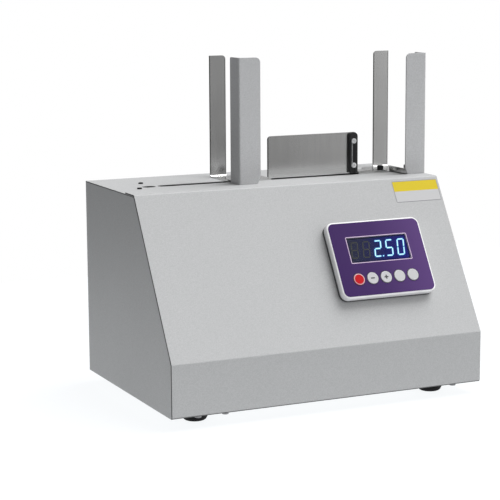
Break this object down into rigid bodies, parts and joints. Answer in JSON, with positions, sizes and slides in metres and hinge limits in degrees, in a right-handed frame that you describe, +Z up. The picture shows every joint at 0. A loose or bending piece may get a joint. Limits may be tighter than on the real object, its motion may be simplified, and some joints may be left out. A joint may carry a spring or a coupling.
{
  "type": "banknote strapping machine",
  "caption": "Desktop machine that straps bundles of banknotes: sloped-front sheet housing, control panel, slotted deck with sliding note guides and a fence, tape mechanism inside.",
  "frame": {"origin": "centre of the bounding box on the surface the feet stand on", "axes": "+Z up, +X to the right of the person who faces the control panel, +Y from the sloped front to the back"},
  "size_m": [0.42, 0.294, 0.4213],
  "materials": {
    "housing_paint": "fine-textured light grey powder coat",
    "post_paint": "fine-textured light grey powder coat",
    "stainless_sheet": "satin stainless sheet",
    "zinc_steel": "bright zinc plated",
    "slider_steel": "ground steel",
    "dark_steel": "black oxide",
    "foot_rubber": "matte",
    "roller_rubber": "ground rubber",
    "bezel_plastic": "satin white",
    "overlay_film": "printed matte film",
    "window_plastic": "clear dark window",
    "display_body": "backlit display",
    "circuit_board": "solder mask",
    "core_iron": "varnished laminations",
    "copper_winding": "taped winding",
    "black_plastic": "moulded, fine grain",
    "rocker_plastic": "moulded",
    "motor_can": "plated can",
    "tape_plastic": "wound tape",
    "gear_plastic": "moulded nylon",
    "gear_brass": "machined",
    "head_aluminium": "machined",
    "red_button": "moulded",
    "grey_button": "moulded"
  },
  "bodies": {
    "housing": {"base_tray": "housing_paint", "board_standoffs": "zinc_steel", "control_board": "circuit_board", "deck_bracket": "zinc_steel", "deck_plate": "housing_paint", "deck_screws": "dark_steel", "display_module": "display_body", "display_window": "window_plastic", "door_hinges": "zinc_steel", "feed_motor": "motor_can", "foot_screws": "zinc_steel", "front_cover": "housing_paint", "housing_screws": "zinc_steel", "left_side_panel": "housing_paint", "main_plate": "zinc_steel", "panel_bezel": "bezel_plastic", "panel_overlay": "overlay_film", "power_board": "circuit_board", "power_inlet": "black_plastic", "rear_cover": "housing_paint", "reel_spindle": "slider_steel", "right_side_panel": "housing_paint", "rubber_feet": "foot_rubber", "solenoid": "core_iron", "switch_frame": "black_plastic", "tape_guide": "stainless_sheet", "transformer_coil": "copper_winding", "transformer_core": "core_iron"},
    "left_guide": {"left_guide_plate": "stainless_sheet", "left_guide_channel": "stainless_sheet", "left_front_post": "post_paint", "left_guide_slider": "slider_steel", "left_clamp_screw": "dark_steel"},
    "right_guide": {"right_guide_plate": "stainless_sheet", "right_guide_channel": "stainless_sheet", "right_front_post": "post_paint", "right_guide_slider": "slider_steel", "right_clamp_screw": "dark_steel"},
    "fence": {"fence_plate": "stainless_sheet", "end_bar": "black_plastic", "end_bar_screws": "zinc_steel"},
    "tape_reel": {"reel_hub": "black_plastic", "reel_cap": "black_plastic", "tape_roll": "tape_plastic"},
    "feed_drive": {"feed_shaft": "slider_steel", "feed_roller": "roller_rubber", "feed_gear": "gear_plastic"},
    "motor_pinion": {"motor_pinion": "gear_brass"},
    "pinch_arm": {"pinch_arm": "zinc_steel"},
    "pinch_roller": {"pinch_roller": "slider_steel"},
    "sealing_press": {"sealing_head": "head_aluminium", "cutter_blade": "slider_steel"},
    "stop_button": {"stop_button": "red_button"},
    "minus_button": {"minus_button": "grey_button"},
    "plus_button": {"plus_button": "grey_button"},
    "mode_button": {"mode_button": "grey_button"},
    "start_button": {"start_button": "grey_button"},
    "power_rocker": {"power_rocker": "rocker_plastic"},
    "rear_door": {"tape_door": "housing_paint", "door_pull": "black_plastic"}
  },
  "joints": [
    {"name": "left_guide_slide", "type": "slide", "parent": "housing", "child": "left_guide", "axis": [1, 0, 0], "range_m": [-0.095, 0]},
    {"name": "right_guide_slide", "type": "slide", "parent": "housing", "child": "right_guide", "axis": [1, 0, 0], "range_m": [-0.011, 0]},
    {"name": "fence_slide", "type": "slide", "parent": "right_guide", "child": "fence", "axis": [1, 0, 0], "range_m": [0, 0.006]},
    {"name": "tape_reel_spin", "type": "hinge", "parent": "housing", "child": "tape_reel", "pos_m": [0.065, 0.04005, 0.095], "axis": [0, 1, 0], "continuous": true},
    {"name": "feed_spin", "type": "hinge", "parent": "housing", "child": "feed_drive", "pos_m": [0.07185, 0.04005, 0.2], "axis": [0, 1, 0], "continuous": true},
    {"name": "motor_pinion_spin", "type": "hinge", "parent": "housing", "child": "motor_pinion", "pos_m": [0.03435, 0.04005, 0.2], "axis": [0, 1, 0], "continuous": true},
    {"name": "pinch_arm_swing", "type": "hinge", "parent": "housing", "child": "pinch_arm", "pos_m": [0.115, 0.04005, 0.19], "axis": [0, 1, 0], "range_deg": [0, 10]},
    {"name": "pinch_roller_spin", "type": "hinge", "parent": "pinch_arm", "child": "pinch_roller", "pos_m": [0.09315, 0.04005, 0.2], "axis": [0, 1, 0], "continuous": true},
    {"name": "sealing_press_slide", "type": "slide", "parent": "housing", "child": "sealing_press", "axis": [-1, 0, 0], "range_m": [0, 0.004], "stiffness_N_per_m": 400},
    {"name": "stop_button_press", "type": "slide", "parent": "housing", "child": "stop_button", "axis": [0, 0.8574, -0.5147], "range_m": [0, 0.0012], "stiffness_N_per_m": 600},
    {"name": "minus_button_press", "type": "slide", "parent": "housing", "child": "minus_button", "axis": [0, 0.8574, -0.5147], "range_m": [0, 0.0012], "stiffness_N_per_m": 600},
    {"name": "plus_button_press", "type": "slide", "parent": "housing", "child": "plus_button", "axis": [0, 0.8574, -0.5147], "range_m": [0, 0.0012], "stiffness_N_per_m": 600},
    {"name": "mode_button_press", "type": "slide", "parent": "housing", "child": "mode_button", "axis": [0, 0.8574, -0.5147], "range_m": [0, 0.0012], "stiffness_N_per_m": 600},
    {"name": "start_button_press", "type": "slide", "parent": "housing", "child": "start_button", "axis": [0, 0.8574, -0.5147], "range_m": [0, 0.0012], "stiffness_N_per_m": 600},
    {"name": "power_rocker_tilt", "type": "hinge", "parent": "housing", "child": "power_rocker", "pos_m": [-0.108, 0.13105, 0.052], "axis": [1, 0, 0], "range_deg": [-8, 8]},
    {"name": "rear_door_hinge", "type": "hinge", "parent": "housing", "child": "rear_door", "pos_m": [0.139, 0.13665, 0.11], "axis": [0, 0, -1], "range_deg": [0, 110]}
  ],
  "couplings": [
    {"joint": "motor_pinion_spin", "follows": "feed_spin", "ratio": -2.5714},
    {"joint": "pinch_roller_spin", "follows": "feed_spin", "ratio": -1.3333}
  ]
}
